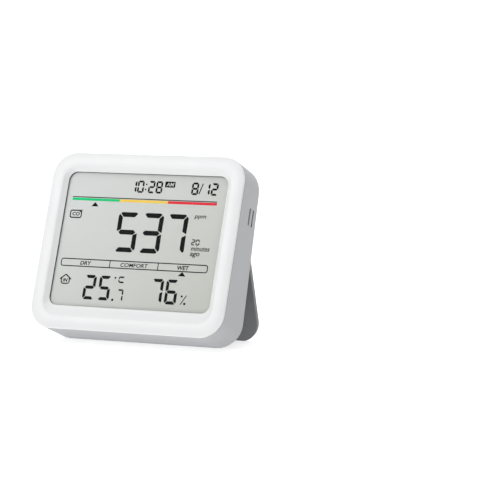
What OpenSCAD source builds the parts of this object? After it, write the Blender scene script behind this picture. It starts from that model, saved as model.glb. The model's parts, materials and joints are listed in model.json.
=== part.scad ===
// Desk air quality monitor: a framed segment display in a shallow wedge case
// that leans back on a fold-out stand.
// Every part is drawn in case coordinates, X to the right across the face,
// Y back from the parting line and Z up the face, and place() leans them back.

/* [Case] */
// Width of the case
case_w = 94; // [92:1:100]
// Height of the case, measured up the front
case_h = 80; // [79:1:84]
// Corner radius of the front outline
corner_r = 11; // [11:0.5:13]
// Depth of the rear shell at mid height, behind the parting line
case_d = 19.84; // [18.7:0.1:21]
// Tilt of the back wall: the case is deeper at its foot
back_slope = 3.43; // [3:0.1:4]
// Rounding of the rear edges
edge_r = 2.5; // [1.5:0.25:3]
// Wall thickness of the rear shell
wall = 1.8; // [1.6:0.1:2]

/* [Display] */
// Width of the display window
window_w = 78; // [74:1:79]
// Top edge of the window above the middle of the case
window_top = 31.5; // [29:0.5:32]
// Bottom edge of the window below the middle of the case
window_foot = 29.3; // [28:0.1:30]
// Corner radius of the window
window_r = 4; // [3:0.5:5]
// Height of the crowned frame in front of the parting line
crown = 1.3; // [1.1:0.1:1.5]

/* [Stand] */
// Angle the stand opens to
stand_angle = 33.5; // [28:1:38]
// Width of the stand
stand_w = 90.4; // [80:0.2:90.4]
// Length of the stand from its pins to its foot
stand_l = 41; // [39:0.1:41]
// Thickness of the stand
stand_t = 2.1; // [2:0.1:2.3]
// Radius of the stand's two lower corners
stand_corner_r = 9.5; // [8:0.5:11]

/* [Controls] */
// Radius of a rear button
button_r = 4; // [3.5:0.25:4.5]
// Distance between the two buttons
button_gap = 20; // [18:1:22]

/* [Hidden] */
$fn = 64;
hull_fn = 32;
eps = 0.05;

// Case outline
half_w = case_w / 2;
half_h = case_h / 2;
draft = 0.1;
seam = 0.25;

// Layers behind the parting line, front to back
bezel_back = 0.45;
lens_front = 0.5;
lcd_front = 1.25;
glass_t = 0.7;
reflector_t = 0.2;
lip_back = 2.6;
holder_front = lcd_front + 2 * glass_t + reflector_t;
holder_t = 1;
board_front = holder_front + holder_t;
board_t = 1.6;
board_back = board_front + board_t;

// Display glass and the pocket it sits in
window_mid = (window_top - window_foot) / 2;
window_h = window_top + window_foot;
bevel_side = 2;
bevel_foot = 5;
bevel_r = 7;
glass_w = window_w + 3;
glass_h = window_h + 4.2;
glass_slack = 0.3;
ledge_h = 2.5;
strip_w = 60;
strip_h = 2;

// Back wall, hinge and stand recess, in back-wall coordinates
hinge_r = stand_t / 2;
hinge_z = 1.65;
pin_r = 0.6;
pin_l = 14;
pin_x = 33;
lug_w = 6;
lug_clear = 0.3;
pin_play = 0.05;
recess_gap = 0.3;
recess_d = stand_t + 0.3;

// Battery bay, in back-wall coordinates
cell_r = 5.25;
cell_l = 43.5;
cell_pitch = 11.2;
bay_z = -21.8;
bay_half_w = 25;
door_t = 1.4;
door_gap = 0.3;
door_half_w = bay_half_w + 1.3;
door_half_h = 11.3;
cell_y = -recess_d - door_t - cell_r - 0.35;
cell_slack = 0.2;

// Fasteners
screw_r = 1;
head_r = 1.9;
head_t = 1.3;
case_screw_x = 36.5;
case_screw_top = 35.6;
case_screw_foot = -35.4;
case_screw_seat = 8;
holder_screw_x = 43.2;
holder_screw_z = 20;
board_screw_x = 29;
board_screw_z = [0, 28];

// Board layout
board_w = 65;
board_top = 34.8;
board_foot = -5;
switch_z = 10;
switch_h = 3.5;
nub_r = 1.1;
nub_front = board_back + 2.6;
nub_back = board_back + switch_h + 0.7;
port_z = 10;
port_w = 8.94;
port_h = 3.2;
port_l = 7.4;
port_y = board_back + port_h / 2;

// Side vents
vent_y = [9.4, 12.75];
vent_z = 16.4;
vent_l = 7.8;
vent_w = 1.3;

// Rubber strip along the foot of the stand, pressed flat by foot_press
foot_l = 2.6;
foot_w = 64;
foot_press = 0.12;

// Point given along the back wall, as [y, z] in case coordinates
function on_back(y, z) = [
    case_d + y * cos(back_slope) - z * sin(back_slope),
    y * sin(back_slope) + z * cos(back_slope)
];

// Resting attitude: the rear edge of the underside and the foot touch the floor
heel_z = -half_h + draft;
heel_y = case_d - heel_z * tan(back_slope) - recess_d / cos(back_slope);
foot_reach = stand_l - hinge_r;
foot_at = on_back(
    -hinge_r + foot_reach * sin(stand_angle),
    hinge_z - foot_reach * cos(stand_angle)
);
foot_span = [heel_z - foot_at[1], heel_y - foot_at[0]];
lean = -acos(-hinge_r / norm(foot_span)) - atan2(foot_span[1], foot_span[0]);
floor_z = heel_z * cos(lean) - heel_y * sin(lean);
front_y = -(half_h - 0.45) * sin(lean) - 0.95 * cos(lean);
rear_y = foot_at[1] * sin(lean) + foot_at[0] * cos(lean) + hinge_r;
mid_y = (front_y + rear_y) / 2;

// ---- Placing ----

// Leans the case back and stands it on the floor
module place() {
    translate([0, -mid_y, -floor_z]) rotate([-lean, 0, 0]) children();
}

// Origin on the back wall at mid height, Y straight out of the wall
module back_wall() {
    translate([0, case_d, 0]) rotate([back_slope, 0, 0]) children();
}

// Stand coordinates: origin on the pins, turned by the opening angle
module stand_frame(angle) {
    back_wall() translate([0, -hinge_r, hinge_z]) rotate([angle, 0, 0]) children();
}

// ---- Shared shapes ----

// Upright rounded plate centred on X, from y0 to y1 and from z0 to z1
module plate(width, z0, z1, y0, y1, r) {
    translate([0, y1, (z0 + z1) / 2]) rotate([90, 0, 0]) linear_extrude(y1 - y0)
        rounded(width, z1 - z0, r);
}

module rounded(width, height, r) {
    square([width - 2 * r, height], center = true);
    square([width, height - 2 * r], center = true);
    for (x = [-1, 1], z = [-1, 1])
        translate([x * (width / 2 - r), z * (height / 2 - r)]) circle(r);
}

// Case outline pulled in by inset, from y0 to y1
module outline(inset, y0, y1) {
    plate(case_w - 2 * inset, inset - half_h, half_h - inset, y0, y1, corner_r - inset);
}

// Block from one corner to the other
module block(low, high) {
    translate(low) cube(high - low);
}

// Cylinder along Y from y0 to y1
module post(x, z, r, y0, y1) {
    translate([x, y1, z]) rotate([90, 0, 0]) cylinder(r = r, h = y1 - y0);
}

module mirrored() {
    children();
    mirror([1, 0, 0]) children();
}

// Pan head screw along Y: its head sits behind seat and its shank runs forward
module screw(x, z, seat, length) {
    difference() {
        union() {
            post(x, z, screw_r, seat - length, seat + eps);
            post(x, z, head_r, seat, seat + head_t);
        }
        for (turn = [0, 90])
            translate([x, seat + head_t, z]) rotate([0, turn, 0])
                cube([2.2, 1.4, 0.5], center = true);
    }
}

// ---- Display and frame ----

// Crowned face of the frame, lower towards its edges
module crowned_face() {
    $fn = hull_fn;
    hull() {
        outline(0, -0.35, 0);
        outline(0.45, -0.95, -0.9);
        outline(1.4, -crown + 0.1, -crown + 0.15);
        outline(3.5, -crown, -crown + 0.05);
    }
}

// Sloping mouth of the window, deepest at its foot
module window_mouth() {
    $fn = hull_fn;
    rim_top = window_top + bevel_side;
    rim_foot = -window_foot - bevel_foot;
    hull() {
        plate(window_w + 2 * bevel_side, rim_foot, rim_top, -crown - 1, -crown + 0.05, bevel_r);
        plate(window_w, -window_foot, window_top, 0.3, 0.36, window_r);
    }
}

module front_frame() {
    color("white") place() difference() {
        union() {
            crowned_face();
            outline(wall + 0.15, -eps, lip_back);
        }
        window_mouth();
        plate(window_w, -window_foot, window_top, 0.2, lip_back, window_r);
        block(
            [-glass_w / 2 - glass_slack, bezel_back, window_mid - glass_h / 2 - glass_slack],
            [glass_w / 2 + glass_slack, lip_back + eps, window_mid + glass_h / 2 + glass_slack]
        );
        for (x = [-1, 1]) {
            post(x * case_screw_x, case_screw_top, screw_r, 0.4, lip_back + eps);
            post(x * case_screw_x, case_screw_foot, screw_r, 0.4, lip_back + eps);
            for (z = [-1, 1])
                post(x * holder_screw_x, z * holder_screw_z, screw_r * 0.8, 0.4, lip_back + eps);
        }
    }
}

module display_lens() {
    color("aliceblue") place()
        plate(window_w - 0.1, 0.05 - window_foot, window_top - 0.05, lens_front, lcd_front, window_r);
}

module display_gasket() {
    color("dimgray") place() difference() {
        plate(
            glass_w, window_mid - glass_h / 2, window_mid + glass_h / 2,
            bezel_back, lcd_front, 1
        );
        plate(window_w, -window_foot, window_top, 0, lcd_front + eps, window_r);
    }
}

module lcd_front_glass() {
    color("lightgray") place()
        block(
            [-glass_w / 2, lcd_front, window_mid - glass_h / 2],
            [glass_w / 2, lcd_front + glass_t, window_mid + glass_h / 2]
        );
}

module lcd_rear_glass() {
    color("gainsboro") place()
        block(
            [-glass_w / 2, lcd_front + glass_t, window_mid - glass_h / 2],
            [glass_w / 2, lcd_front + 2 * glass_t, window_mid + glass_h / 2 - ledge_h]
        );
}

module lcd_reflector() {
    color("silver") place()
        block(
            [-glass_w / 2, lcd_front + 2 * glass_t, window_mid - glass_h / 2],
            [glass_w / 2, holder_front, window_mid + glass_h / 2 - ledge_h]
        );
}

strip_z = window_mid + glass_h / 2 - ledge_h / 2;

// Conductive rubber strip between the glass ledge and the board
module lcd_connector() {
    color("orchid") place()
        block(
            [-strip_w / 2, lcd_front + glass_t, strip_z - strip_h / 2],
            [strip_w / 2, board_front, strip_z + strip_h / 2]
        );
}

module display_holder() {
    color("whitesmoke") place() difference() {
        union() {
            block([-41.5, holder_front, -33.6], [41.5, board_front, 34.8]);
            for (x = [-1, 1], z = [-1, 1])
                post(x * holder_screw_x, z * holder_screw_z, 1.9, holder_front, board_front);
        }
        block(
            [-strip_w / 2 - 0.3, 0, strip_z - strip_h / 2 - 0.2],
            [strip_w / 2 + 0.3, board_back, strip_z + strip_h / 2 + 0.2]
        );
        for (x = [-1, 1]) {
            for (z = [-1, 1])
                post(x * holder_screw_x, z * holder_screw_z, screw_r * 0.8, 0, board_back);
            post(x * case_screw_x, case_screw_top, 3.4, 0, board_back);
            post(x * case_screw_x, case_screw_foot, 3.4, 0, board_back);
            for (z = board_screw_z)
                post(x * board_screw_x, z, screw_r, 0, board_back);
        }
    }
}

module holder_screws() {
    color("silver") place() for (x = [-1, 1], z = [-1, 1]) {
        post(x * holder_screw_x, z * holder_screw_z, screw_r * 0.8, 0.6, board_front + eps);
        post(x * holder_screw_x, z * holder_screw_z, 1.5, board_front, board_front + 0.8);
    }
}

// ---- Electronics ----

module main_board() {
    color("seagreen") place() difference() {
        union() {
            block([-board_w / 2, board_front, board_foot], [board_w / 2, board_back, board_top]);
            block(
                [-half_w + 3, board_front, port_z - 6.5],
                [-board_w / 2 + eps, board_back, port_z + 6.5]
            );
        }
        for (x = [-1, 1], z = board_screw_z)
            post(x * board_screw_x, z, screw_r + 0.1, 0, board_back + eps);
    }
}

module board_screws() {
    color("silver") place() for (x = [-1, 1], z = board_screw_z)
        screw(x * board_screw_x, z, board_back, 2.4);
}

module microcontroller() {
    color("black") place() block([-4, board_back, 18], [4, board_back + 1, 26]);
}

// Crystal, regulator and a row of capacitors
module board_components() {
    color("tan") place() {
        block([-12, board_back, 23], [-9, board_back + 1.2, 24.6]);
        block([-13, board_back, 16], [-9.5, board_back + 1.6, 19.5]);
        for (k = [0:5])
            block([-6 + 2.2 * k, board_back, 14], [-5 + 2.2 * k, board_back + 0.8, 15.6]);
    }
}

// Radio board under its shield can
module radio_module() {
    color("lightsteelblue") place() {
        block([-28, board_back, 5], [-15, board_back + 0.8, 23]);
        block([-27.2, board_back + 0.8, 5.6], [-15.8, board_back + 2.6, 17]);
    }
}

// Infrared gas cell with its filter grille
module gas_sensor() {
    color("goldenrod") place() difference() {
        block([9, board_back, 19], [25, board_back + 6.5, 30.5]);
        for (k = [0:4])
            block([11 + 2.6 * k, board_back + 6, 21], [12.4 + 2.6 * k, board_back + 7, 28.5]);
    }
}

module climate_sensor() {
    color("black") place() block([28.5, board_back, 10], [31.5, board_back + 1, 13]);
}

module stadium(width, height, length) {
    linear_extrude(length) {
        square([width - height, height], center = true);
        for (x = [-1, 1]) translate([x * (width - height) / 2, 0]) circle(height / 2);
    }
}

// Power socket: its metal shell opens through the left wall
module usb_port() {
    shell_t = 0.3;
    color("silver") place()
        translate([-half_w + 1, port_y, port_z]) rotate([0, 90, 0]) {
            difference() {
                stadium(port_w, port_h, port_l);
                translate([0, 0, -1])
                    stadium(port_w - 2 * shell_t, port_h - 2 * shell_t, port_l - 0.2);
            }
            translate([-3.3, -0.35, 1]) cube([6.6, 0.7, port_l - 1.5]);
        }
}

// Housings of the two push switches on the board
module tact_switches() {
    color("dimgray") place() mirrored() difference() {
        block(
            [button_gap / 2 - 3, board_back, switch_z - 3],
            [button_gap / 2 + 3, board_back + switch_h, switch_z + 3]
        );
        post(button_gap / 2, switch_z, nub_r + 0.4, nub_front - 0.8, nub_back);
    }
}

// ---- Battery bay ----

// Plate at each end of a cell, with the raised dimple of the positive end
module battery_contacts() {
    color("silver") place() back_wall() for (end = [-1, 1], row = [-1, 1]) {
        z = bay_z + row * cell_pitch / 2;
        translate([end * (bay_half_w - 0.25), cell_y, z]) cube([0.5, 7.4, 7.4], center = true);
        if (end == row)
            translate([end * (bay_half_w - 1.1), cell_y, z]) rotate([0, 90, 0])
                cylinder(r = 2.2, h = 1.3, center = true);
    }
}

spring_turns = 3;
spring_steps = 16;
spring_sides = 8;
spring_wire = 0.35;
spring_l = 2.3;

// Ring of points round the spring wire at the given step
function spring_ring(step) =
    let (
        part = step / (spring_turns * spring_steps),
        turn = 360 * step / spring_steps,
        coil_r = 3.6 - 1.4 * part
    )
    [for (k = [0:spring_sides - 1])
        let (a = 360 * k / spring_sides, reach = coil_r + spring_wire * cos(a))
        [reach * cos(turn), reach * sin(turn), part * spring_l + spring_wire * sin(a)]
    ];

module coil_spring() {
    rings = spring_turns * spring_steps;
    n = spring_sides;
    points = [for (step = [0:rings]) each spring_ring(step)];
    sides = [for (step = [0:rings - 1], k = [0:n - 1])
        [
            step * n + k,
            step * n + (k + 1) % n,
            (step + 1) * n + (k + 1) % n,
            (step + 1) * n + k
        ]
    ];
    first = [[for (k = [n - 1:-1:0]) k]];
    last = [[for (k = [0:n - 1]) rings * n + k]];
    polyhedron(points, concat(first, sides, last));
}

module battery_springs() {
    color("silver") place() back_wall() for (row = [-1, 1])
        translate([-row * (bay_half_w - 0.9), cell_y, bay_z + row * cell_pitch / 2])
            rotate([0, row * 90, 0]) coil_spring();
}

// Two cells lying side by side, nose to tail
module batteries() {
    color("steelblue") place() back_wall() for (row = [-1, 1])
        translate([row * (bay_half_w - 2.8), cell_y, bay_z + row * cell_pitch / 2])
            rotate([0, -row * 90, 0]) {
                cylinder(r = cell_r, h = cell_l);
                translate([0, 0, -1]) cylinder(r = 1.9, h = 1 + eps);
            }
}

// Outer block of the bay, kept clear of the display holder
module bay_walls() {
    intersection() {
        back_wall() block(
            [-bay_half_w - 2.8, cell_y - cell_r - 1.2, bay_z - door_half_h - 1.7],
            [bay_half_w + 2.8, -recess_d - 0.5, bay_z + door_half_h + 1.7]
        );
        block([-half_w, board_front + 0.1, -half_h], [half_w, case_d + 5, half_h]);
    }
}

// Room for the cells, their contacts and the door
module bay_room() {
    back_wall() {
        for (row = [-1, 1])
            translate([-bay_half_w, cell_y, bay_z + row * cell_pitch / 2]) rotate([0, 90, 0])
                cylinder(r = cell_r + cell_slack, h = 2 * bay_half_w);
        block(
            [-bay_half_w, cell_y, bay_z - cell_pitch / 2 - cell_r - cell_slack],
            [bay_half_w, 1, bay_z + cell_pitch / 2 + cell_r + cell_slack]
        );
        block(
            [-door_half_w - door_gap, -recess_d - door_t - 0.1, bay_z - door_half_h - door_gap],
            [door_half_w + door_gap, 1, bay_z + door_half_h + door_gap]
        );
    }
}

module battery_door() {
    color("gainsboro") place() back_wall() difference() {
        block(
            [-door_half_w, -recess_d - door_t, bay_z - door_half_h],
            [door_half_w, -recess_d, bay_z + door_half_h]
        );
        for (k = [-2:2])
            block(
                [-7, -recess_d - 0.4, bay_z + 6 + 1.4 * k],
                [7, 1, bay_z + 6.6 + 1.4 * k]
            );
    }
}

// ---- Rear shell ----

// Case body behind the seam, pulled in all round and in depth by inset
module body_block(inset) {
    $fn = hull_fn;
    soft = edge_r * 0.293;
    tall = case_h - 2 * draft;
    hull() {
        outline(inset, seam, seam + 0.2);
        back_wall() {
            back_layer(tall, inset, -edge_r - inset);
            back_layer(tall, inset + soft, -soft - inset);
            back_layer(tall, inset + edge_r, -inset);
        }
    }
}

module back_layer(tall, inset, depth) {
    plate(
        case_w - 2 * draft - 2 * inset, inset - tall / 2, tall / 2 - inset,
        depth - 0.05, depth, corner_r - inset
    );
}

// Outline of the stand and its recess: barrel at the top, rounded foot corners
module stand_outline(grow) {
    half = stand_w / 2 + grow;
    r = stand_corner_r + grow;
    top = hinge_r + grow;
    foot = -stand_l - grow;
    translate([-half, foot + r]) square([2 * half, top - foot - r]);
    translate([-half + r, foot]) square([2 * half - 2 * r, r + eps]);
    for (x = [-1, 1]) translate([x * (half - r), foot + r]) circle(r);
}

// Recess the stand folds into, open at the bottom of the case
module stand_recess() {
    stand_frame(0) translate([0, hinge_r + 6, 0]) rotate([90, 0, 0])
        linear_extrude(recess_d + 6) {
            stand_outline(recess_gap);
            translate([stand_corner_r - stand_w / 2, -stand_l - 4])
                square([stand_w - 2 * stand_corner_r, 8]);
        }
}

// Lugs that carry the stand's pins
module hinge_lugs() {
    stand_frame(0) mirrored() difference() {
        translate([pin_x - lug_w / 2, 0, 0]) {
            rotate([0, 90, 0]) cylinder(r = hinge_r - 0.05, h = lug_w);
            translate([0, hinge_r - recess_d - 0.3, 0.05 - hinge_r])
                cube([lug_w, recess_d - hinge_r + 0.3, 2 * hinge_r - 0.1]);
        }
        translate([pin_x - lug_w, 0, 0]) rotate([0, 90, 0])
            cylinder(r = pin_r + pin_play, h = 2 * lug_w);
    }
}

// Boss round each case screw, from the frame's lip to the back wall
module screw_bosses(r, y0) {
    for (x = [-1, 1]) {
        post(x * case_screw_x, case_screw_top, r, y0, case_d - 3.5);
        post(x * case_screw_x, case_screw_foot, r, y0, case_d - 2);
    }
}

module screw_bores() {
    for (x = [-1, 1], z = [case_screw_top, case_screw_foot]) {
        post(x * case_screw_x, z, screw_r + 0.1, 0, case_screw_seat + eps);
        post(x * case_screw_x, z, head_r + 0.2, case_screw_seat, case_d + 8);
    }
}

module button_bores() {
    for (x = [-1, 1])
        back_wall() post(x * button_gap / 2, switch_z, button_r + 0.25, -wall - 1, 1);
}

module side_vents() {
    for (y = vent_y)
        translate([half_w - 4, y, vent_z]) rotate([90, 0, 90])
            linear_extrude(5) {
                square([vent_w, vent_l - vent_w], center = true);
                for (z = [-1, 1])
                    translate([0, z * (vent_l - vent_w) / 2]) circle(vent_w / 2);
            }
}

module port_hole() {
    translate([-half_w - 1, port_y, port_z]) rotate([0, 90, 0])
        stadium(port_w + 0.5, port_h + 0.5, 6);
}

module rear_shell() {
    color("lightgray") place() difference() {
        union() {
            difference() {
                body_block(0);
                difference() {
                    body_block(wall);
                    stand_frame(0) translate([0, hinge_r + 6, 0]) rotate([90, 0, 0])
                        linear_extrude(recess_d + wall + 6) stand_outline(recess_gap + 1.2);
                }
                outline(wall, 0, lip_back + 0.1);
            }
            bay_walls();
            intersection() {
                screw_bosses(3.2, lip_back + 0.1);
                body_block(0);
            }
        }
        stand_recess();
        bay_room();
        screw_bores();
        button_bores();
        side_vents();
        port_hole();
    }
    color("lightgray") place() hinge_lugs();
}

module case_screws() {
    color("silver") place() for (x = [-1, 1], z = [case_screw_top, case_screw_foot])
        screw(x * case_screw_x, z, case_screw_seat, 7.2);
}

// ---- Buttons ----

// Cap, retaining flange and stem of one button
module button(x) {
    stem_end = nub_back - on_back(0, switch_z)[0] + 0.1;
    place() back_wall() {
        post(x, switch_z, button_r, -wall - 0.3, 0.6);
        post(x, switch_z, button_r + 0.8, -wall - 1.1, -wall - 0.25);
        post(x, switch_z, 1.5, stem_end, -wall - 1);
    }
}

module plunger(x) {
    place() post(x, switch_z, nub_r, nub_front, nub_back);
}

module mode_button() {
    color("silver") button(-button_gap / 2);
}

module mode_plunger() {
    color("black") plunger(-button_gap / 2);
}

module pair_button() {
    color("silver") button(button_gap / 2);
}

module pair_plunger() {
    color("black") plunger(button_gap / 2);
}

// ---- Stand ----

module stand_flap() {
    color("gray") place() stand_frame(stand_angle) difference() {
        union() {
            intersection() {
                translate([0, hinge_r, 0]) rotate([90, 0, 0])
                    linear_extrude(stand_t) stand_outline(0);
                block([-half_w, -hinge_r, 0.3 - stand_l], [half_w, hinge_r, 0]);
            }
            translate([-stand_w / 2, 0, 0]) rotate([0, 90, 0])
                cylinder(r = hinge_r, h = stand_w);
        }
        mirrored() {
            block(
                [pin_x - lug_w / 2 - lug_clear, -2 * hinge_r, -1.8],
                [pin_x + lug_w / 2 + lug_clear, 2 * hinge_r, 2 * hinge_r]
            );
            translate([pin_x - pin_l / 2, 0, 0]) rotate([0, 90, 0])
                cylinder(r = pin_r, h = pin_l);
        }
        block([-foot_w / 2, -2 * hinge_r, -stand_l - 1], [foot_w / 2, 2 * hinge_r, foot_l - stand_l]);
    }
}

module hinge_pins() {
    color("silver") place() stand_frame(stand_angle) mirrored()
        translate([pin_x - pin_l / 2, 0, 0]) rotate([0, 90, 0])
            cylinder(r = pin_r, h = pin_l);
}

// Rubber strip along the foot of the stand, cut flat where it meets the floor
module stand_foot() {
    end = hinge_r - stand_l - foot_press;
    color("dimgray") intersection() {
        place() stand_frame(stand_angle) {
            block([-foot_w / 2, -hinge_r, end], [foot_w / 2, hinge_r, foot_l - stand_l]);
            translate([-foot_w / 2, 0, end]) rotate([0, 90, 0])
                cylinder(r = hinge_r, h = foot_w);
        }
        translate([-half_w, -case_h, 0]) cube([case_w, 2 * case_h, case_h]);
    }
}

front_frame();
display_lens();
display_gasket();
lcd_front_glass();
lcd_rear_glass();
lcd_reflector();
lcd_connector();
display_holder();
holder_screws();
main_board();
board_screws();
microcontroller();
board_components();
radio_module();
gas_sensor();
climate_sensor();
usb_port();
tact_switches();
battery_contacts();
battery_springs();
batteries();
rear_shell();
case_screws();
battery_door();
mode_button();
mode_plunger();
pair_button();
pair_plunger();
stand_flap();
hinge_pins();
stand_foot();
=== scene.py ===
"""Desk air quality monitor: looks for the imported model.

Lengths are in millimetres in case coordinates: X across the face, Y back from the parting
line and Z up the face. lay() leans them back with the case, in metres. The stage, the lights
and the camera are in metres in the shared frame.
"""

import json
import math
import bmesh
import bpy
from mathutils import Matrix, Vector


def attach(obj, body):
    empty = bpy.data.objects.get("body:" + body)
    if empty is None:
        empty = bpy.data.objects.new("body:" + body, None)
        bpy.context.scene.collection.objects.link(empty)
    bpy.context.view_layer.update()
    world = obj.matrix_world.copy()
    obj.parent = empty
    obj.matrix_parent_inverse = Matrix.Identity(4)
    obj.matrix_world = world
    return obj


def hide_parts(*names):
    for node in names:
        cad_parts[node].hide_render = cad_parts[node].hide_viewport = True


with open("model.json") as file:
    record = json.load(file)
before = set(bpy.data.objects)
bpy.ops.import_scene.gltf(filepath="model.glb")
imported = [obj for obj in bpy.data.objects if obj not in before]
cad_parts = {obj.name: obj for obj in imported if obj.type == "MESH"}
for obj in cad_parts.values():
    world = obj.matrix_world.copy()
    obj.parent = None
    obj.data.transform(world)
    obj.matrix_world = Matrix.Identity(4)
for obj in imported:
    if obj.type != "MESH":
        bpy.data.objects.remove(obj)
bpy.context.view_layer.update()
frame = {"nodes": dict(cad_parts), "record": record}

MM = 0.001
NODES = frame["nodes"]

# ---- Case geometry, as the CAD model has it ----

CASE_W = 94.0
CASE_H = 80.0
CORNER_R = 11.0
CROWN = 1.3
WINDOW_W = 78.0
WINDOW_TOP = 31.5
WINDOW_FOOT = -29.3
WINDOW_R = 4.0
RIM_SIDE = 2.0
RIM_FOOT = 5.0
RIM_R = 7.0
BEZEL_BACK = 0.45
LENS_FRONT = 0.5
LENS_BACK = 1.1
LCD_FRONT = 1.25
GLASS_T = 0.7
LIP_BACK = 2.6
LIP_INSET = 1.95
POCKET_SIDE = 1.8
POCKET_END = 2.4
POCKET_R = 1.2


def case_matrix():
    """Case coordinates to the shared frame, read off the flat front of the display glass."""
    mesh = NODES["lcd_front_glass"].data
    front = min(mesh.polygons, key=lambda p: p.normal.y)
    back = -front.normal
    across = Vector((1, 0, 0))
    up = across.cross(back)
    glass_mid = (WINDOW_TOP + WINDOW_FOOT) / 2
    axes = Matrix((across, back, up)).transposed().to_4x4()
    corners = {tuple(round(c, 6) for c in v.co) for v in mesh.vertices}
    centre = sum((Vector(c) for c in corners), Vector()) / len(corners)
    origin = centre - back * (LCD_FRONT + GLASS_T / 2) * MM - up * glass_mid * MM
    return Matrix.Translation(origin) @ axes


CASE = case_matrix()


def lay(x, y, z):
    """A point of the case in the shared frame."""
    return CASE @ Vector((x * MM, y * MM, z * MM))


# ---- Materials ----

# Noise seldom leaves this part of its range
NOISE_LOW = 0.3
NOISE_HIGH = 0.7
NOISE_ROUGHNESS = 0.55
DRIFT_DETAIL = 3.0
HANDLING_DETAIL = 5.0
RELIEF_DETAIL = 2.0

# How closely the rounded normal matches the true one where an edge begins and at its crest
EDGE_BEGINS = 0.995
EDGE_CREST = 0.80
BEVEL_SAMPLES = 4

# Worn edges are paler by a gain and a lift, in patches that fade to a faintest share
WORN_GAIN = 1.25
WORN_LIFT = 0.05
WORN_PATCH = 4.0
WORN_FAINTEST = 0.2


class Look:
    """A procedural material: one Principled shader with nodes for its fine detail."""

    def __init__(self, name, colour, roughness, **sockets):
        self.material = bpy.data.materials.new(name)
        self.material.use_nodes = True
        self.nodes = self.material.node_tree.nodes
        self.links = self.material.node_tree.links
        self.shader = self.nodes["Principled BSDF"]
        self.shader.inputs["Base Color"].default_value = (*colour, 1)
        self.shader.inputs["Roughness"].default_value = roughness
        for socket, value in sockets.items():
            self.shader.inputs[socket.replace("_", " ")].default_value = value
        self.colour = colour
        self.roughness = roughness
        self.coords = self.nodes.new("ShaderNodeTexCoord").outputs["Object"]
        self.normal = None
        self.edges = None

    def soft_edges(self, radius_mm):
        """Round the shading of hard edges; the same node tells where edges rub."""
        bevel = self.nodes.new("ShaderNodeBevel")
        bevel.samples = BEVEL_SAMPLES
        bevel.inputs["Radius"].default_value = radius_mm * MM
        facing = self.nodes.new("ShaderNodeNewGeometry")
        match = self.nodes.new("ShaderNodeVectorMath")
        match.operation = "DOT_PRODUCT"
        self.links.new(bevel.outputs["Normal"], match.inputs[0])
        self.links.new(facing.outputs["Normal"], match.inputs[1])
        edge = self.nodes.new("ShaderNodeMapRange")
        edge.inputs["From Min"].default_value = EDGE_BEGINS
        edge.inputs["From Max"].default_value = EDGE_CREST
        self.links.new(match.outputs["Value"], edge.inputs["Value"])
        self.edges = edge.outputs["Result"]
        self.normal = bevel.outputs["Normal"]
        self.links.new(self.normal, self.shader.inputs["Normal"])

    def wear(self, amount):
        """Make the edges found by soft_edges paler than the faces."""
        colour_link = self.shader.inputs["Base Color"].links[0]
        pale = [min(1.0, c * WORN_GAIN + WORN_LIFT) for c in self.colour]
        worn = self.nodes.new("ShaderNodeMix")
        worn.data_type = "RGBA"
        self.links.new(self.masked(self.edges, amount), worn.inputs["Factor"])
        self.links.new(colour_link.from_socket, worn.inputs["A"])
        worn.inputs["B"].default_value = (*pale, 1)
        self.links.new(worn.outputs["Result"], self.shader.inputs["Base Color"])

    def masked(self, fac, amount):
        """Break a factor up with noise so that wear comes and goes along an edge."""
        part = self.nodes.new("ShaderNodeMath")
        part.operation = "MULTIPLY"
        patches = self.spread(self.noise(WORN_PATCH), WORN_FAINTEST * amount, amount)
        self.links.new(fac, part.inputs[0])
        self.links.new(patches, part.inputs[1])
        return part.outputs["Value"]

    def noise(self, size_mm, detail=DRIFT_DETAIL):
        """Noise with blotches of about the given size."""
        node = self.nodes.new("ShaderNodeTexNoise")
        node.inputs["Scale"].default_value = 1 / (size_mm * MM)
        node.inputs["Detail"].default_value = detail
        node.inputs["Roughness"].default_value = NOISE_ROUGHNESS
        self.links.new(self.coords, node.inputs["Vector"])
        return node.outputs["Fac"]

    def spread(self, fac, low, high):
        """Noise stretched to run from low to high."""
        node = self.nodes.new("ShaderNodeMapRange")
        node.inputs["From Min"].default_value = NOISE_LOW
        node.inputs["From Max"].default_value = NOISE_HIGH
        node.inputs["To Min"].default_value = low
        node.inputs["To Max"].default_value = high
        self.links.new(fac, node.inputs["Value"])
        return node.outputs["Result"]

    def vary_colour(self, size_mm, amount):
        """Slow drift in lightness, amount either side of the base colour."""
        ramp = self.nodes.new("ShaderNodeValToRGB")
        dark = [max(0.0, c * (1 - amount)) for c in self.colour]
        pale = [min(1.0, c * (1 + amount)) for c in self.colour]
        ramp.color_ramp.elements[0].position = NOISE_LOW
        ramp.color_ramp.elements[0].color = (*dark, 1)
        ramp.color_ramp.elements[1].position = NOISE_HIGH
        ramp.color_ramp.elements[1].color = (*pale, 1)
        self.links.new(self.noise(size_mm), ramp.inputs["Fac"])
        self.links.new(ramp.outputs["Color"], self.shader.inputs["Base Color"])

    def vary_roughness(self, size_mm, amount):
        """Handling marks: roughness amount either side of its base value."""
        low = self.roughness - amount
        high = self.roughness + amount
        fac = self.spread(self.noise(size_mm, HANDLING_DETAIL), low, high)
        self.links.new(fac, self.shader.inputs["Roughness"])

    def bump(self, size_mm, height_mm, strength):
        """Fine relief; further calls stack on the first."""
        node = self.nodes.new("ShaderNodeBump")
        node.inputs["Distance"].default_value = height_mm * MM
        node.inputs["Strength"].default_value = strength
        self.links.new(self.noise(size_mm, RELIEF_DETAIL), node.inputs["Height"])
        if self.normal:
            self.links.new(self.normal, node.inputs["Normal"])
        self.normal = node.outputs["Normal"]
        self.links.new(self.normal, self.shader.inputs["Normal"])


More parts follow.
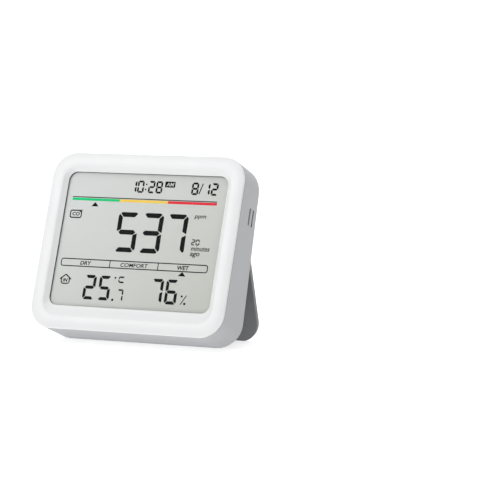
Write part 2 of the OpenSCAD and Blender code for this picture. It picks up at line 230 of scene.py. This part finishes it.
def moulded(name, colour, roughness, grain=0.22):
    """Injection moulded plastic: spark-eroded grain, slight flow and handling marks."""
    look = Look(name, colour, roughness)
    look.soft_edges(0.25)
    look.vary_colour(14, 0.012)
    look.wear(0.35)
    look.vary_roughness(3.5, 0.05)
    look.bump(grain, 0.012, 0.25)
    look.bump(9, 0.02, 0.12)
    return look.material


def metal(name, colour, roughness):
    """Plated or bare metal, faintly stained and grained."""
    look = Look(name, colour, roughness, Metallic=1.0)
    look.soft_edges(0.12)
    look.vary_colour(2, 0.06)
    look.vary_roughness(0.8, 0.08)
    look.bump(0.3, 0.01, 0.3)
    return look.material


def rubber(name, colour):
    """Matt rubber with a dusty, uneven surface."""
    look = Look(name, colour, 0.75)
    look.vary_colour(3, 0.08)
    look.vary_roughness(1.5, 0.08)
    look.bump(0.25, 0.02, 0.4)
    return look.material


def lcd_surface():
    """Reflective display glass: grey-green polariser, with painted light that makes it brightest
    at its upper left corner.
    """
    look = Look("lcd_glass", (0.60, 0.62, 0.575), 0.42, Specular_IOR_Level=0.2)
    # Painted light: the base colour runs from pale at the upper left to darker at the lower right,
    # as the key lamp falls across the glass
    slope = look.nodes.new("ShaderNodeVectorMath")
    slope.operation = "DOT_PRODUCT"
    slope.inputs[1].default_value = (1.0, 0.0, -1.0)
    look.links.new(look.coords, slope.inputs[0])
    # X less Z at the two corners, in metres in the shared frame
    upper_left = -0.107
    lower_right = 0.018
    place = look.nodes.new("ShaderNodeMapRange")
    place.inputs["From Min"].default_value = upper_left
    place.inputs["From Max"].default_value = lower_right
    look.links.new(slope.outputs["Value"], place.inputs["Value"])
    ramp = look.nodes.new("ShaderNodeValToRGB")
    ramp.color_ramp.elements[0].color = (0.675, 0.70, 0.69, 1)
    ramp.color_ramp.elements[1].color = (0.555, 0.573, 0.525, 1)
    look.links.new(place.outputs["Result"], ramp.inputs["Fac"])
    look.links.new(ramp.outputs["Color"], look.shader.inputs["Base Color"])
    look.vary_roughness(5, 0.04)
    look.bump(0.12, 0.004, 0.12)
    return look.material


def clear_lens():
    """Clear plastic pane, seen by its reflections."""
    look = Look("clear_lens", (0.5, 0.51, 0.51), 0.06, Alpha=0.005)
    look.vary_roughness(12, 0.02)
    return look.material


def ink(name, colour, shine=0.5):
    """Flat print or a plain coated surface."""
    look = Look(name, colour, 0.5, Specular_IOR_Level=shine)
    look.vary_colour(4, 0.03)
    look.vary_roughness(1.0, 0.05)
    return look.material


def board_look():
    """Solder mask with the faint relief of copper tracks under it."""
    mask = (0.02, 0.16, 0.06)
    tracks_per_metre = 420
    look = Look("solder_mask", mask, 0.35)
    tracks = look.nodes.new("ShaderNodeTexBrick")
    tracks.inputs["Scale"].default_value = tracks_per_metre
    tracks.inputs["Color1"].default_value = (*mask, 1)
    tracks.inputs["Color2"].default_value = (0.025, 0.20, 0.08, 1)
    tracks.inputs["Mortar"].default_value = (0.05, 0.30, 0.13, 1)
    look.links.new(look.coords, tracks.inputs["Vector"])
    look.links.new(tracks.outputs["Color"], look.shader.inputs["Base Color"])
    look.vary_roughness(2, 0.06)
    look.bump(1.2, 0.03, 0.4)
    return look.material


def striped_rubber():
    """Thin conducting layers across the length of the connector."""
    silicone = (0.75, 0.40, 0.50)
    stripe_scale = 900
    look = Look("striped_silicone", silicone, 0.6)
    wave = look.nodes.new("ShaderNodeTexWave")
    wave.inputs["Scale"].default_value = stripe_scale
    ramp = look.nodes.new("ShaderNodeValToRGB")
    ramp.color_ramp.elements[0].color = (0.03, 0.03, 0.03, 1)
    ramp.color_ramp.elements[1].color = (*silicone, 1)
    look.links.new(look.coords, wave.inputs["Vector"])
    look.links.new(wave.outputs["Fac"], ramp.inputs["Fac"])
    look.links.new(ramp.outputs["Color"], look.shader.inputs["Base Color"])
    look.vary_roughness(1, 0.05)
    return look.material


LOOKS = {
    "frame_plastic": moulded("frame_white", (0.86, 0.865, 0.87), 0.38),
    # Painted shade: the shell's grey base colour, darker than the frame's white plastic, stands in
    # for the shade on the case's sides and back
    "shell_plastic": moulded("shell_grey_painted_shade", (0.405, 0.411, 0.427), 0.48, grain=0.3),
    "stand_plastic": moulded("stand_grey", (0.172, 0.174, 0.182), 0.50, grain=0.3),
    "button_plastic": moulded("button_grey", (0.36, 0.365, 0.38), 0.42),
    "lens": clear_lens(),
    "gasket_rubber": rubber("gasket_black", (0.045, 0.047, 0.05)),
    "foot_rubber": rubber("foot_black", (0.035, 0.035, 0.037)),
    "lcd_glass": lcd_surface(),
    "lcd_back": ink("rear_glass", (0.45, 0.47, 0.43)),
    "reflector": metal("reflector_foil", (0.80, 0.80, 0.81), 0.35),
    "connector_rubber": striped_rubber(),
    "holder_plastic": moulded("holder_white", (0.72, 0.72, 0.72), 0.5),
    "screw_steel": metal("screw_zinc", (0.60, 0.60, 0.62), 0.32),
    "circuit_board": board_look(),
    "chip_resin": moulded("chip_black", (0.02, 0.02, 0.022), 0.45),
    "component": ink("ceramic_tan", (0.33, 0.22, 0.11)),
    "shield_can": metal("shield_tin", (0.66, 0.67, 0.69), 0.3),
    "sensor_gold": metal("sensor_gold", (0.80, 0.58, 0.24), 0.28),
    "port_metal": metal("port_nickel", (0.62, 0.62, 0.64), 0.25),
    "switch_resin": moulded("switch_black", (0.03, 0.03, 0.033), 0.4),
    "contact_metal": metal("contact_nickel", (0.72, 0.72, 0.70), 0.22),
    "cell_sleeve": ink("cell_blue", (0.03, 0.12, 0.22)),
    "pin_steel": metal("pin_steel", (0.55, 0.55, 0.57), 0.2),
}
INK_SHINE = 0.05
INK_BLACK = ink("segment_black", (0.004, 0.004, 0.005), INK_SHINE)
INK_THIN = ink("segment_grey", (0.006, 0.006, 0.006), INK_SHINE)
INK_LINE = ink("scale_line", (0.06, 0.062, 0.065), INK_SHINE)
INK_GREEN = ink("scale_green", (0.012, 0.63, 0.215), INK_SHINE)
INK_YELLOW = ink("scale_yellow", (0.93, 0.64, 0.10), INK_SHINE)
INK_RED = ink("scale_red", (0.80, 0.032, 0.05), INK_SHINE)


# ---- CAD nodes ----

# Edges that bend further than this stay crisp, in degrees
CRISP_ANGLE = 28
# Nodes whose rounded edges are made of a few wide facets, and their own limit
ROUNDED = ("rear_shell",)
ROUNDED_CRISP_ANGLE = 50


def slot_of(node):
    """Material slot that the record gives a node."""
    return next(s["material_slot"] for s in frame["record"]["subparts"] if s["node"] == node)


def dress_cad():
    """Give every CAD node its slot's material and smooth its round faces."""
    for name, obj in NODES.items():
        obj.data.materials.clear()
        obj.data.materials.append(LOOKS[slot_of(name)])
        smooth(obj.data, ROUNDED_CRISP_ANGLE if name in ROUNDED else CRISP_ANGLE)
        if name in ROUNDED:
            even = obj.modifiers.new("even_normals", "WEIGHTED_NORMAL")
            even.keep_sharp = True


def smooth(mesh, degrees):
    """Shade smooth, but keep every edge sharper than the angle."""
    work = bmesh.new()
    work.from_mesh(mesh)
    limit = math.radians(degrees)
    for face in work.faces:
        face.smooth = True
    for edge in work.edges:
        edge.smooth = len(edge.link_faces) == 2 and edge.calc_face_angle(0.0) < limit
    work.to_mesh(mesh)
    work.free()


def piece(name, mesh, look, replaces=()):
    """A new object riding on the case, standing for the CAD nodes it replaces."""
    obj = bpy.data.objects.new(name, mesh)
    bpy.context.scene.collection.objects.link(obj)
    mesh.materials.append(look)
    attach(obj, "case")
    if replaces:
        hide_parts(*replaces)
    return obj


# ---- Front frame and lens ----

CORNER_STEPS = 14
EDGE_STEPS = 6

# Outer edge of the frame: a small chamfer at the parting line, a straight side, an oval round
EDGE_INSET = 0.03
EDGE_CHAMFER = 0.12
EDGE_STRAIGHT = 0.3
ROUND_ACROSS = 0.82
ROUND_FORWARD = 0.62
ROUND_STEPS = 7
# From the round up to the crown: distance in from the outside, and how far forward
CROWN_PROFILE = ((1.5, 1.08), (2.3, 1.2), (3.2, 1.28), (4.0, CROWN))
# Down the mouth: share of the way from the window out to the rim, and Y
MOUTH_PROFILE = (
    (1.12, -1.27), (1.03, -1.2), (0.94, -1.07), (0.82, -0.86), (0.64, -0.54),
    (0.46, -0.24), (0.28, 0.04), (0.12, 0.25), (0.04, 0.33), (0.0, 0.38),
)
# Lens: polished edge, and the gap round it in the window
LENS_EASE = 0.08
LENS_GAP = 0.06


def rounded_ring(left, right, foot, top, r, y):
    """Points round a rounded rectangle in case coordinates, anticlockwise from the lower right."""
    points = []
    corners = [(right - r, foot + r, -90), (right - r, top - r, 0)]
    corners += [(left + r, top - r, 90), (left + r, foot + r, 180)]
    for i, (cx, cz, start) in enumerate(corners):
        for k in range(CORNER_STEPS + 1):
            a = math.radians(start + 90 * k / CORNER_STEPS)
            points.append((cx + r * math.cos(a), y, cz + r * math.sin(a)))
        nx, nz, turn = corners[(i + 1) % 4]
        a = math.radians(turn)
        end = (nx + r * math.cos(a), nz + r * math.sin(a))
        x0, _, z0 = points[-1]
        for k in range(1, EDGE_STEPS):
            t = k / EDGE_STEPS
            points.append((x0 + (end[0] - x0) * t, y, z0 + (end[1] - z0) * t))
    return points


def loft(name, rings, degrees, closed=True):
    """Mesh through rings of equal length; closed joins the last ring to the first."""
    work = bmesh.new()
    rows = [[work.verts.new(lay(*p)) for p in ring] for ring in rings]
    pairs = list(zip(rows, rows[1:]))
    if closed:
        pairs.append((rows[-1], rows[0]))
    for low, high in pairs:
        for k in range(len(low)):
            n = (k + 1) % len(low)
            work.faces.new((low[k], low[n], high[n], high[k]))
    if not closed:
        work.faces.new(rows[0][::-1])
        work.faces.new(rows[-1])
    bmesh.ops.recalc_face_normals(work, faces=work.faces[:])
    mesh = bpy.data.meshes.new(name)
    work.to_mesh(mesh)
    work.free()
    smooth(mesh, degrees)
    return mesh


def case_ring(inset, y):
    """Outline of the case, moved in by inset."""
    half_w = CASE_W / 2 - inset
    half_h = CASE_H / 2 - inset
    return rounded_ring(-half_w, half_w, -half_h, half_h, CORNER_R - inset, y)


def window_ring(grow, y, foot_grow=None, r=None):
    """Outline of the window, moved out by grow, at its foot by foot_grow."""
    foot_grow = grow if foot_grow is None else foot_grow
    half = WINDOW_W / 2 + grow
    r = WINDOW_R + grow if r is None else r
    return rounded_ring(-half, half, WINDOW_FOOT - foot_grow, WINDOW_TOP + grow, r, y)


def pocket_ring(y):
    """Edge of the pocket that the display glass sits in."""
    half = WINDOW_W / 2 + POCKET_SIDE
    foot = WINDOW_FOOT - POCKET_END
    top = WINDOW_TOP + POCKET_END
    return rounded_ring(-half, half, foot, top, POCKET_R, y)


def edge_rings():
    """Rings up the outer edge: chamfer, straight side, then an oval round."""
    rings = [
        case_ring(EDGE_CHAMFER, 0.0),
        case_ring(EDGE_INSET, -EDGE_CHAMFER),
        case_ring(EDGE_INSET, -EDGE_STRAIGHT),
    ]
    for k in range(1, ROUND_STEPS + 1):
        a = math.radians(90 * k / ROUND_STEPS)
        inset = EDGE_INSET + ROUND_ACROSS * (1 - math.cos(a))
        rings.append(case_ring(inset, -EDGE_STRAIGHT - ROUND_FORWARD * math.sin(a)))
    return rings


def mouth_rings():
    """Rings down the mouth: rounded over the rim, straight, then a small radius at the window."""
    rings = []
    for t, y in MOUTH_PROFILE:
        r = WINDOW_R + (RIM_R - WINDOW_R) * t
        rings.append(window_ring(RIM_SIDE * t, y, RIM_FOOT * t, r))
    return rings


def front_frame():
    """Crowned face, soft outer edge and a sloping mouth that is deepest at its foot."""
    rings = edge_rings()
    for inset, forward in CROWN_PROFILE:
        rings.append(case_ring(inset, -forward))
    rings += mouth_rings()
    rings.append(window_ring(0.0, BEZEL_BACK))
    rings.append(pocket_ring(BEZEL_BACK))
    rings.append(pocket_ring(LIP_BACK))
    rings.append(case_ring(LIP_INSET, LIP_BACK))
    rings.append(case_ring(LIP_INSET, 0.0))
    mesh = loft("front_frame_shell", rings, degrees=34)
    piece(
        "front_frame_shell", mesh, LOOKS["frame_plastic"],
        replaces=["front_frame"],
    )


def display_lens():
    """Clear pane with polished edges, standing off the display glass."""
    rings = [
        window_ring(-LENS_GAP - LENS_EASE, LENS_FRONT),
        window_ring(-LENS_GAP, LENS_FRONT + LENS_EASE),
        window_ring(-LENS_GAP, LENS_BACK - LENS_EASE),
        window_ring(-LENS_GAP - LENS_EASE, LENS_BACK),
    ]
    mesh = loft("display_pane", rings, degrees=20, closed=False)
    piece("display_pane", mesh, LOOKS["lens"], replaces=["display_lens"])


# ---- Display artwork, as thin raised ink on the display glass ----

# Ink stands out of the glass by the first and reaches into it by the second
INK_RAISE = 0.015
INK_SINK = 0.03
INK_Y = LCD_FRONT - INK_RAISE
INK_BACK = LCD_FRONT + INK_SINK
# Letters on a black badge stand just in front of its ink
LETTER_RAISE = 0.02

DISC_STEPS = 20
SOFTEN_STEPS = 3
OUTLINE_STEPS = 5
# The most of a side that a softened corner takes, and how far a mitre may run out
SOFTEN_SHARE = 0.45
MITRE_LIMIT = 0.5
# Corner radius of a segment, in bar widths
SEGMENT_SOFTEN = 0.15
# Slant of the small print, and of the print in scales and badges
SLANT = 0.15
SCALE_SLANT = 0.1
# Straight pieces to each curve of a letter
LETTER_STEPS = 4


class Artwork:
    """Flat outlines in display millimetres, gathered and extruded into one mesh."""

    def __init__(self, name, look):
        self.name = name
        self.look = look
        self.outlines = []

    def add(self, outline):
        self.outlines.append(outline)

    def build(self):
        work = bmesh.new()
        for outline in self.outlines:
            front = [work.verts.new(lay(x, INK_Y, z)) for x, z in outline]
            back = [work.verts.new(lay(x, INK_BACK, z)) for x, z in outline]
            work.faces.new(front)
            work.faces.new(back[::-1])
            for k in range(len(outline)):
                n = (k + 1) % len(outline)
                work.faces.new((front[k], back[k], back[n], front[n]))
        bmesh.ops.recalc_face_normals(work, faces=work.faces[:])
        mesh = bpy.data.meshes.new(self.name)
        work.to_mesh(mesh)
        work.free()
        piece(self.name, mesh, self.look)


def rectangle(x0, x1, z0, z1):
    return [(x0, z0), (x1, z0), (x1, z1), (x0, z1)]


def disc(cx, cz, r):
    turn = [math.tau * k / DISC_STEPS for k in range(DISC_STEPS)]
    return [(cx + r * math.cos(a), cz + r * math.sin(a)) for a in turn]


def stroke(a, b, width):
    """Bar from a to b with square ends."""
    dx, dz = b[0] - a[0], b[1] - a[1]
    length = math.hypot(dx, dz)
    nx, nz = -dz / length * width / 2, dx / length * width / 2
    return [
        (a[0] + nx, a[1] + nz), (a[0] - nx, a[1] - nz),
        (b[0] - nx, b[1] - nz), (b[0] + nx, b[1] + nz),
    ]


def soften(outline, r):
    """Round each corner of a convex outline by cutting r along its sides."""
    points = []
    for i, p in enumerate(outline):
        before, after = outline[i - 1], outline[(i + 1) % len(outline)]
        ends = []
        for q in (before, after):
            length = math.hypot(q[0] - p[0], q[1] - p[1])
            cut = min(r, length * SOFTEN_SHARE) / length
            ends.append((p[0] + (q[0] - p[0]) * cut, p[1] + (q[1] - p[1]) * cut))
        for k in range(SOFTEN_STEPS + 1):
            t = k / SOFTEN_STEPS
            points.append(tuple(
                (1 - t) ** 2 * ends[0][n] + 2 * t * (1 - t) * p[n] + t * t * ends[1][n]
                for n in (0, 1)
            ))
    return points


# Segments lit for each symbol shown. Clockwise from the top they are a to f, and g is the middle
LIT = {
    "0": "abcdef", "1": "bc", "2": "abged", "3": "abgcd", "5": "afgcd",
    "6": "afgedc", "7": "abc", "8": "abcdefg", "C": "adef",
}


def digit(art, symbol, x, z, width, height, bar):
    """One seven-segment digit with clipped corners, its lower left corner at x, z.

    The clips and the gaps between segments are shares of the bar width.
    """
    mid = height / 2
    half = bar / 2
    top = [
        (0.44 * bar, height - 0.24 * bar), (0.8 * bar, height), (width - 0.8 * bar, height),
        (width - 0.44 * bar, height - 0.24 * bar), (width - 1.08 * bar, height - bar),
        (1.08 * bar, height - bar),
    ]
    middle = [
        (0.44 * bar, mid), (0.95 * bar, mid + half), (width - 0.95 * bar, mid + half),
        (width - 0.44 * bar, mid), (width - 0.95 * bar, mid - half), (0.95 * bar, mid - half),
    ]
    left = [
        (0.28 * bar, height - 0.38 * bar), (0, height - 0.8 * bar), (0.05 * bar, mid + 0.12 * bar),
        (bar, mid + 0.58 * bar), (bar, height - 1.1 * bar),
    ]

    def turned(shape, across, over):
        return [(width - px if across else px, height - pz if over else pz) for px, pz in shape]

    shapes = {
        "a": top,
        "b": turned(left, across=True, over=False),
        "c": turned(left, across=True, over=True),
        "d": turned(top, across=False, over=True),
        "e": turned(left, across=False, over=True),
        "f": left,
        "g": middle,
    }
    for segment in LIT[symbol]:
        outline = [(x + px, z + pz) for px, pz in shapes[segment]]
        art.add(soften(outline, bar * SEGMENT_SOFTEN))


def number(art, text, x, z, pitch, **size):
    """Digits in a row, one pitch apart."""
    for k, symbol in enumerate(text):
        digit(art, symbol, x + k * pitch, z, **size)


def frame_outline(art, x0, x1, z0, z1, r, width):
    """Line round a rounded rectangle."""
    corners = [(x1 - r, z0 + r, -90), (x1 - r, z1 - r, 0)]
    corners += [(x0 + r, z1 - r, 90), (x0 + r, z0 + r, 180)]
    points = []
    for cx, cz, start in corners:
        for k in range(OUTLINE_STEPS + 1):
            a = math.radians(start + 90 * k / OUTLINE_STEPS)
            points.append((cx + r * math.cos(a), cz + r * math.sin(a)))
    closed_line(art, points, width)


def closed_line(art, points, width):
    """Mitred line of even width round a convex outline, one quad to each side."""
    inner, outer = [], []
    for i, p in enumerate(points):
        a, b = points[i - 1], points[(i + 1) % len(points)]
        d1 = Vector((p[0] - a[0], p[1] - a[1])).normalized()
        d2 = Vector((b[0] - p[0], b[1] - p[1])).normalized()
        n = Vector((d1.y + d2.y, -d1.x - d2.x)).normalized()
        reach = width / 2 / max(MITRE_LIMIT, n.dot(Vector((d1.y, -d1.x))))
        outer.append((p[0] + n.x * reach, p[1] + n.y * reach))
        inner.append((p[0] - n.x * reach, p[1] - n.y * reach))
    for k in range(len(points)):
        n = (k + 1) % len(points)
        art.add([outer[k], outer[n], inner[n], inner[k]])


def words(name, text, box, look, slant, weight):
    """Plain lettering as thin as the ink, fitted to a box (left, right, foot, top)."""
    left, right, foot, top = box
    curve = bpy.data.curves.new(name, "FONT")
    curve.body = text
    curve.shear = slant
    curve.offset = weight
    curve.extrude = 1.0
    curve.resolution_u = LETTER_STEPS
    source = bpy.data.objects.new(name, curve)
    bpy.context.scene.collection.objects.link(source)
    bpy.context.view_layer.update()
    evaluated = source.evaluated_get(bpy.context.evaluated_depsgraph_get())
    mesh = bpy.data.meshes.new_from_object(evaluated)
    bpy.data.objects.remove(source)
    x0, x1 = min(v.co.x for v in mesh.vertices), max(v.co.x for v in mesh.vertices)
    z0, z1 = min(v.co.y for v in mesh.vertices), max(v.co.y for v in mesh.vertices)
    for v in mesh.vertices:
        x = left + (right - left) * (v.co.x - x0) / (x1 - x0)
        z = foot + (top - foot) * (v.co.y - z0) / (z1 - z0)
        v.co = lay(x, INK_Y if v.co.z > 0 else INK_BACK, z)
    mesh.materials.clear()
    return piece(name, mesh, look)


def clock_row():
    """Time with its colon, date with its slash, and the black badge after the time."""
    art = Artwork("clock_segments", INK_BLACK)
    time_foot = 23.05
    time_size = dict(width=3.25, height=5.6, bar=0.88)
    for symbol, x in (("1", -8.5), ("0", -4.9), ("2", 0.42), ("8", 4.15)):
        digit(art, symbol, x, time_foot, **time_size)
    for x, z in ((-0.72, 24.7), (-0.6, 27.0)):
        art.add(disc(x, z, 0.38))
    date_foot = 22.98
    date_size = dict(width=3.4, height=5.65, bar=0.92)
    for symbol, x in (("8", 21.48), ("1", 26.95), ("2", 30.85)):
        digit(art, symbol, x, date_foot, **date_size)
    art.add(stroke((25.35, 23.5), (26.72, 28.25), 0.5))
    art.build()
    badge = Artwork("morning_badge", INK_BLACK)
    badge.add(soften(rectangle(8.4, 13.35, 25.95, 28.62), 0.3))
    badge.build()


def gas_scale():
    """Three-colour bar under a thin line."""
    line = Artwork("gas_scale_line", INK_LINE)
    line.add(rectangle(-36.2, 34.6, 19.98, 20.46))
    line.build()
    left, right, foot, top = -36.1, 34.7, 18.65, 19.8
    zones = (("green", INK_GREEN), ("yellow", INK_YELLOW), ("red", INK_RED))
    third = (right - left) / len(zones)
    for k, (name, look) in enumerate(zones):
        bar = Artwork("gas_scale_" + name, look)
        bar.add(rectangle(left + third * k, left + third * (k + 1), foot, top))
        bar.build()


def pointers():
    """Triangle under each scale, at its reading."""
    art = Artwork("scale_pointers", INK_BLACK)
    half, rise, sag = 1.8, 1.9, 0.05
    for x, z in ((-24.4, 16.2), (23.2, -13.25)):
        art.add(soften([(x - half, z - sag), (x + half, z - sag), (x, z + rise)], 0.15))
    art.build()


def gas_reading():
    """Large reading, and the small number of minutes since it was taken."""
    art = Artwork("gas_segments", INK_BLACK)
    number(art, "537", -11.75, -3.9, pitch=11.9, width=10.3, height=18.0, bar=2.14)
    art.build()
    small = Artwork("age_segments", INK_BLACK)
    number(small, "20", 25.3, 0.6, pitch=2.1, width=1.85, height=2.7, bar=0.52)
    small.build()


def comfort_scale():
    """Frame in three compartments."""
    art = Artwork("comfort_frame", INK_THIN)
    frame_outline(art, -36.45, 34.85, -11.2, -7.98, 0.9, 0.46)
    half = 0.2
    for x in (-12.35, 11.2):
        art.add(rectangle(x - half, x + half, -11.1, -8.05))
    art.build()


def gas_badge():
    """Rounded frame round the name of the gas, with a tick at its corner."""
    art = Artwork("gas_badge", INK_THIN)
    frame_outline(art, -35.95, -30.5, 10.75, 14.0, 0.8, 0.55)
    art.add(stroke((-31.5, 13.3), (-30.2, 14.3), 0.45))
    art.build()


def indoor_badge():
    """House, as a roof over walls that lean in at their foot."""
    art = Artwork("indoor_badge", INK_THIN)
    middle = -33.0
    roof = [(-35.75, -17.3), (middle, -15.15), (-30.25, -17.3)]
    for a, b in zip(roof, roof[1:]):
        art.add(stroke(a, b, 0.55))
    walls = [(-34.95, -16.9), (-34.95, -18.7), (-34.3, -19.25)]
    walls += [(2 * middle - x, z) for x, z in reversed(walls)]
    for a, b in zip(walls, walls[1:]):
        art.add(stroke(a, b, 0.52))
    art.build()


def temperature(art, size):
    """Two large digits, a point, a small digit and the degree sign with its letter."""
    foot = -25.85
    digit(art, "2", -23.4, foot, **size)
    digit(art, "5", -16.05, foot, **size)
    art.add(disc(-8.35, -25.4, 0.55))
    digit(art, "7", -6.5, -25.9, width=3.0, height=5.4, bar=0.72)
    art.add(disc(-8.5, -15.55, 0.45))
    digit(art, "C", -6.85, -17.75, width=3.1, height=2.95, bar=0.7)


def humidity(art, size):
    """Two large digits and a percent sign."""
    foot = -25.95
    digit(art, "7", 9.5, foot, **size)
    digit(art, "6", 16.55, foot, **size)
    art.add(stroke((24.5, -25.8), (27.0, -21.6), 0.4))
    art.add(disc(24.76, -22.1, 0.48))
    art.add(disc(26.5, -25.3, 0.55))


def climate_readings():
    """Temperature and humidity along the foot of the display."""
    art = Artwork("climate_segments", INK_BLACK)
    size = dict(width=5.85, height=11.0, bar=1.42)
    temperature(art, size)
    humidity(art, size)
    art.build()


def lettering():
    """Small print beside the readings and in the scale."""
    prints = (
        ("unit_word", "ppm", (25.0, 30.6, 12.1, 14.0), SLANT, 0.018),
        ("age_word_1", "minutes", (25.6, 34.5, -1.9, 0.2), SLANT, 0.015),
        ("age_word_2", "ago", (25.5, 30.1, -4.8, -2.6), SLANT, 0.018),
        ("scale_word_dry", "DRY", (-27.0, -21.5, -10.5, -8.8), SCALE_SLANT, 0.03),
        ("scale_word_comfort", "COMFORT", (-7.1, 6.3, -10.55, -8.75), SCALE_SLANT, 0.018),
        ("scale_word_wet", "WET", (20.4, 26.1, -10.55, -8.7), SCALE_SLANT, 0.03),
        ("gas_word", "CO", (-35.0, -31.3, 11.6, 13.2), 0.0, 0.04),
        ("indoor_word", "IN", (-34.1, -31.9, -18.55, -16.95), SCALE_SLANT, 0.04),
    )
    for name, text, box, slant, weight in prints:
        words(name, text, box, INK_THIN, slant, weight)


def morning_letters():
    """AM in the glass's own grey, just in front of its black badge."""
    box = (9.1, 12.75, 26.45, 28.1)
    obj = words("morning_word", "AM", box, LOOKS["lcd_glass"], SCALE_SLANT, 0.01)
    forward = CASE.to_3x3() @ Vector((0, -LETTER_RAISE * MM, 0))
    obj.data.transform(Matrix.Translation(forward))


# ---- Stage, in metres in the shared frame ----

FLOOR_HALF = 9.0
WALL_AT = 1.6
WALL_TOP = 2.6
BEND_R = 0.8
BEND_STEPS = 16
PAPER_GREY = 0.57
PAPER_GLOW = 0.7
AIR_GLOW = 0.20
LIGHT_AIM = (0, 0, 0.04)

# A long lens on the display's right, a little above it
CAMERA_AT = (0.4588, -0.8850, 0.1460)
CAMERA_AZIMUTH = 24.78
CAMERA_ELEVATION = 6.04
CAMERA_LENS = 164.9
CAMERA_SENSOR = 36
CAMERA_FAR = 20


def stage():
    """Pale floor that runs up into a pale backdrop."""
    work = bmesh.new()
    path = [(-FLOOR_HALF, 0.0), (WALL_AT - BEND_R, 0.0)]
    for k in range(1, BEND_STEPS + 1):
        a = math.radians(90 * k / BEND_STEPS)
        path.append((WALL_AT - BEND_R + BEND_R * math.sin(a), BEND_R - BEND_R * math.cos(a)))
    path.append((WALL_AT, WALL_TOP))
    rows = [[work.verts.new((x, y, z)) for x in (-FLOOR_HALF, FLOOR_HALF)] for y, z in path]
    for low, high in zip(rows, rows[1:]):
        work.faces.new((low[0], low[1], high[1], high[0]))
    mesh = bpy.data.meshes.new("studio_floor")
    work.to_mesh(mesh)
    work.free()
    for face in mesh.polygons:
        face.use_smooth = True
    floor = bpy.data.objects.new("studio_floor", mesh)
    bpy.context.scene.collection.objects.link(floor)
    mesh.materials.append(studio_paper())


def studio_paper():
    """Matt paper with a little glow of its own, so that it stays pale in every view."""
    paper = (PAPER_GREY, PAPER_GREY, PAPER_GREY)
    look = Look("studio_paper", paper, 0.9, Emission_Strength=PAPER_GLOW)
    look.shader.inputs["Emission Color"].default_value = (1, 1, 1, 1)
    look.bump(6, 0.02, 0.05)
    return look.material


def area_light(name, at, size, watts):
    """Soft rectangular lamp that shines on the monitor."""
    data = bpy.data.lights.new(name, "AREA")
    data.shape = "RECTANGLE"
    data.size, data.size_y = size
    data.energy = watts
    lamp = bpy.data.objects.new(name, data)
    lamp.location = at
    lamp.rotation_euler = (Vector(LIGHT_AIM) - Vector(at)).to_track_quat("-Z", "Y").to_euler()
    bpy.context.scene.collection.objects.link(lamp)


def lights():
    """Three soft lamps and an even glow all round."""
    area_light("key_front_left", at=(-0.9, -1.3, 1.15), size=(0.9, 0.9), watts=12.3)
    area_light("fill_top", at=(0.1, -0.2, 1.7), size=(1.6, 1.6), watts=14)
    area_light("rim_back", at=(-0.5, 1.0, 1.0), size=(1.0, 0.6), watts=3)
    world = bpy.data.worlds.new("studio_air")
    world.use_nodes = True
    air = world.node_tree.nodes["Background"]
    air.inputs["Color"].default_value = (1, 1, 1, 1)
    air.inputs["Strength"].default_value = AIR_GLOW
    bpy.context.scene.world = world


def camera():
    """The photograph's view."""
    data = bpy.data.cameras.new("camera")
    data.lens = CAMERA_LENS
    data.sensor_width = CAMERA_SENSOR
    data.clip_end = CAMERA_FAR
    obj = bpy.data.objects.new("camera", data)
    obj.location = CAMERA_AT
    tilt = math.radians(90 - CAMERA_ELEVATION)
    obj.rotation_euler = (tilt, 0, math.radians(CAMERA_AZIMUTH))
    bpy.context.scene.collection.objects.link(obj)
    bpy.context.scene.camera = obj


bpy.context.scene.view_settings.view_transform = "Standard"
camera()
stage()
lights()
dress_cad()
front_frame()
display_lens()
clock_row()
gas_scale()
pointers()
gas_badge()
gas_reading()
comfort_scale()
indoor_badge()
climate_readings()
lettering()
morning_letters()
